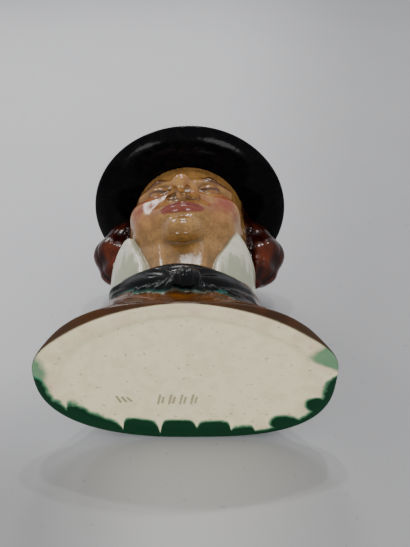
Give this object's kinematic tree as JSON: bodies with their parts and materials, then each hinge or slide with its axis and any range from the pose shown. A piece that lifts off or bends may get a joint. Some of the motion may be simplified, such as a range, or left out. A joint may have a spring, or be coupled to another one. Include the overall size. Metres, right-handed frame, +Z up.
{
  "type": "figural tobacco jar",
  "caption": "Glazed earthenware jar in the form of a bust: a hollow body for tobacco, closed by a lift-off round hat as its lid.",
  "frame": {"origin": "centre of the foot, at the height of the surface that it stands on", "axes": "+Z up through the hat, the face looks along -Y, +X is the figure's left"},
  "size_m": [0.1518, 0.124, 0.1761],
  "materials": {
    "painted_glaze": "gloss",
    "black_glaze": "gloss"
  },
  "bodies": {
    "root": {"jar_body": "painted_glaze", "hat_lid": "black_glaze"}
  },
  "joints": []
}
